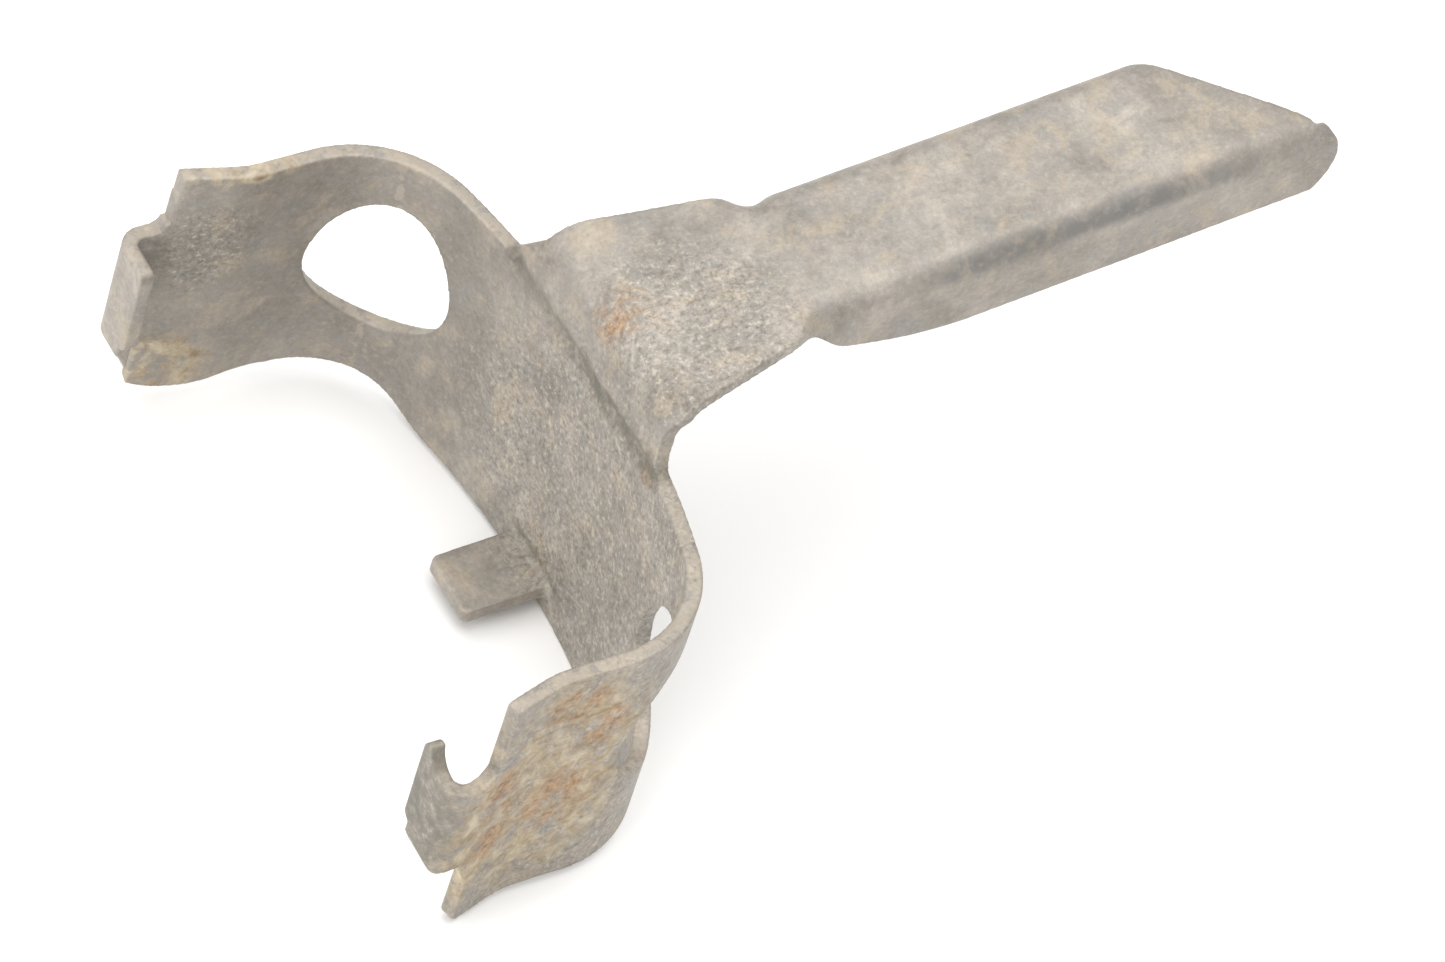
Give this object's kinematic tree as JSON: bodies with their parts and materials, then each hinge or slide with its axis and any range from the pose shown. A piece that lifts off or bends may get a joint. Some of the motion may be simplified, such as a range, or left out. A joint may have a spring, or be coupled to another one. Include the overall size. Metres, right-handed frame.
{
  "type": "stamped lever clip",
  "caption": "Sheet-steel clip folded from a single blank, with hooked arms, a stop tab and a channel-section thumb lever bent backwards.",
  "frame": {"origin": "middle of the clip's length and width, level with its lowest edge", "axes": "+X from the hooked arms towards the lever's tip, +Y across the arms, +Z from the web's lower edge up to the lever"},
  "size_m": [0.0729, 0.047, 0.0334],
  "materials": {
    "weathered_steel": "matte, weathered, patches of rust"
  },
  "bodies": {
    "root": {"stamped_lever_clip": "weathered_steel"}
  },
  "joints": []
}
